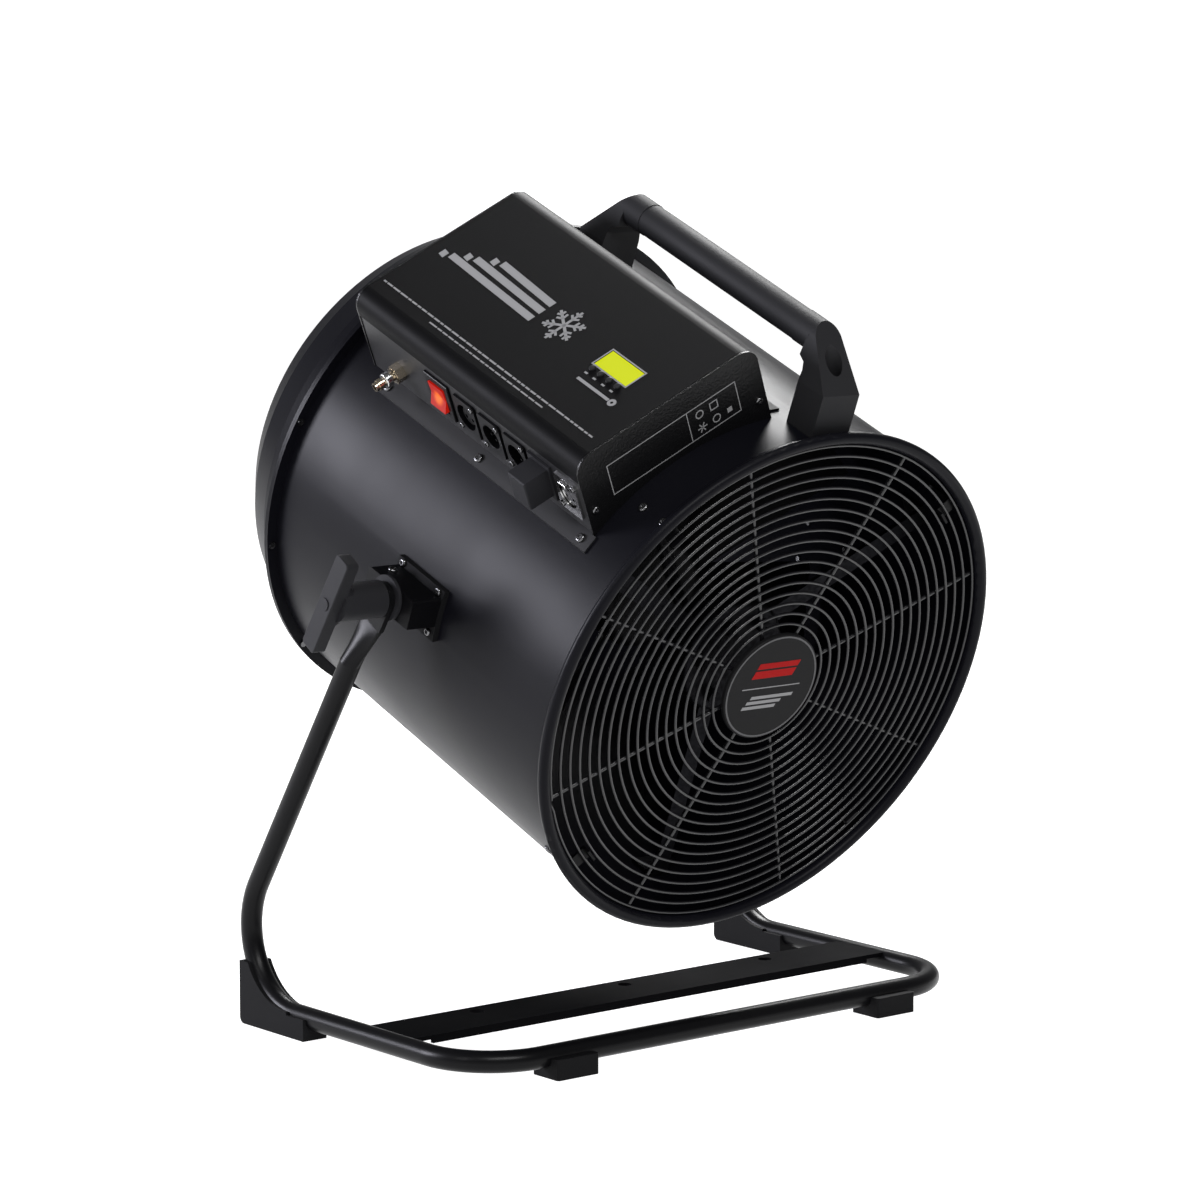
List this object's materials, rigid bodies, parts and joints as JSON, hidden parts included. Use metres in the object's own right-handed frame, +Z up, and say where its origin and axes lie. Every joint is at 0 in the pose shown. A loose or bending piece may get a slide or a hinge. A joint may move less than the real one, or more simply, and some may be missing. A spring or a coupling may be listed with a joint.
{
  "type": "snow effect machine",
  "caption": "Fan-driven effect machine: a round barrel with a wire-guarded outlet, a control box and carry handle on top, tilting on a bent-tube floor stand.",
  "frame": {"origin": "on the floor, under the middle of the whole machine; the tilt axis crosses the middle plane at Y = -31.6 mm, Z = 332 mm", "axes": "+Z up, the outlet faces -Y and dips 21.8 degrees, +X is the side away from the connector panel; the tilt axis lies along X"},
  "size_m": [0.5536, 0.5285, 0.6111],
  "materials": {
    "stand_paint": "satin black powder coat",
    "foot_rubber": "matt black rubber",
    "zinc_steel": "zinc plated",
    "bracket_paint": "matt black",
    "grip_plastic": "moulded, fine texture",
    "black_screws": "black oxide, slightly glossy",
    "barrel_paint": "satin black powder coat with a cool sheen",
    "wire_black": "gloss black coated wire",
    "badge": "satin dark grey with a lighter rim",
    "cast_motor": "cast, matt",
    "fan_plastic": "moulded nylon",
    "hose_plastic": "black tube",
    "box_paint": "flat black powder coat with light grey print",
    "wrinkle_paint": "black wrinkle powder coat",
    "panel_paint": "satin black with light grey print",
    "circuit_board": "green circuit board",
    "display_glow": "yellow-green backlit window",
    "button_plastic": "moulded",
    "chrome_metal": "nickel plated",
    "socket_plastic": "moulded black",
    "red_rocker": "translucent red, lit from inside",
    "brass_fitting": "nickel plated brass",
    "handle_plastic": "moulded, fine texture"
  },
  "bodies": {
    "stand": {"stand_tube_left": "stand_paint", "stand_tube_right": "stand_paint", "stand_tube_front": "stand_paint", "cross_strap": "stand_paint", "front_foot_left": "foot_rubber", "front_foot_right": "foot_rubber", "rear_foot_left": "foot_rubber", "rear_foot_right": "foot_rubber", "foot_screws": "zinc_steel"},
    "barrel": {"pivot_bracket_left": "bracket_paint", "pivot_bracket_right": "bracket_paint", "bracket_pads": "foot_rubber", "pivot_studs": "zinc_steel", "lock_washers": "zinc_steel", "friction_discs": "grip_plastic", "bracket_screws": "black_screws", "barrel_shell": "barrel_paint", "rear_cowl": "barrel_paint", "rear_guard": "wire_black", "front_grille": "wire_black", "grille_badge": "badge", "grille_clips": "bracket_paint", "barrel_screws": "black_screws", "flange_rivets": "black_screws", "fan_motor": "cast_motor", "motor_mount": "bracket_paint", "nozzle_ring": "cast_motor", "fluid_hose": "hose_plastic", "box_cover": "box_paint", "box_end_front": "wrinkle_paint", "box_end_rear": "wrinkle_paint", "box_screws": "black_screws", "control_board": "circuit_board", "display_window": "display_glow", "remote_socket": "chrome_metal", "receiver_module": "grip_plastic", "data_socket_out": "socket_plastic", "data_socket_in": "socket_plastic", "power_inlet": "socket_plastic", "socket_screws": "black_screws", "switch_body": "socket_plastic", "coupler_body": "brass_fitting", "fluid_pump": "cast_motor", "power_supply": "zinc_steel", "connector_panel": "panel_paint", "handle_post_front": "handle_plastic", "handle_post_rear": "handle_plastic", "handle_bar": "handle_plastic", "handle_screws": "black_screws"},
    "fan": {"fan_rotor": "fan_plastic"},
    "lock_handle_left": {"lock_handle_left": "grip_plastic"},
    "lock_handle_right": {"lock_handle_right": "grip_plastic"},
    "rocker": {"switch_rocker": "red_rocker"},
    "sleeve": {"coupler_sleeve": "chrome_metal"},
    "tab": {"release_tab": "chrome_metal"},
    "button_1": {"menu_button_1": "button_plastic"},
    "button_2": {"menu_button_2": "button_plastic"},
    "button_3": {"menu_button_3": "button_plastic"},
    "button_4": {"menu_button_4": "button_plastic"}
  },
  "joints": [
    {"name": "barrel_tilt", "type": "hinge", "parent": "stand", "child": "barrel", "pos_m": [0, -0.0316, 0.332], "axis": [1, 0, 0], "range_deg": [-66.8, 23.2]},
    {"name": "fan_spin", "type": "hinge", "parent": "barrel", "child": "fan", "pos_m": [0, -0.04163, 0.32476], "axis": [0, -0.9285, -0.3714], "continuous": true},
    {"name": "left_handle_turn", "type": "hinge", "parent": "barrel", "child": "lock_handle_left", "pos_m": [-0.25, -0.0316, 0.332], "axis": [1, 0, 0], "range_deg": [0, 360]},
    {"name": "right_handle_turn", "type": "hinge", "parent": "barrel", "child": "lock_handle_right", "pos_m": [0.25, -0.0316, 0.332], "axis": [-1, 0, 0], "range_deg": [0, 360]},
    {"name": "power_rocker", "type": "hinge", "parent": "barrel", "child": "rocker", "pos_m": [-0.16817, -0.03063, 0.47364], "axis": [0, -0.9285, -0.3714], "range_deg": [0, 14]},
    {"name": "sleeve_push", "type": "slide", "parent": "barrel", "child": "sleeve", "axis": [0.8545, -0.1929, 0.4824], "range_m": [0, 0.0025], "stiffness_N_per_m": 900, "springref_m": -0.001},
    {"name": "tab_push", "type": "slide", "parent": "barrel", "child": "tab", "axis": [0.8545, -0.1929, 0.4824], "range_m": [0, 0.0018], "stiffness_N_per_m": 500, "springref_m": -0.001},
    {"name": "button_1_press", "type": "slide", "parent": "barrel", "child": "button_1", "axis": [0.5195, 0.3173, -0.7934], "range_m": [0, 0.0008], "stiffness_N_per_m": 600, "springref_m": -0.0006},
    {"name": "button_2_press", "type": "slide", "parent": "barrel", "child": "button_2", "axis": [0.5195, 0.3173, -0.7934], "range_m": [0, 0.0008], "stiffness_N_per_m": 600, "springref_m": -0.0006},
    {"name": "button_3_press", "type": "slide", "parent": "barrel", "child": "button_3", "axis": [0.5195, 0.3173, -0.7934], "range_m": [0, 0.0008], "stiffness_N_per_m": 600, "springref_m": -0.0006},
    {"name": "button_4_press", "type": "slide", "parent": "barrel", "child": "button_4", "axis": [0.5195, 0.3173, -0.7934], "range_m": [0, 0.0008], "stiffness_N_per_m": 600, "springref_m": -0.0006}
  ]
}
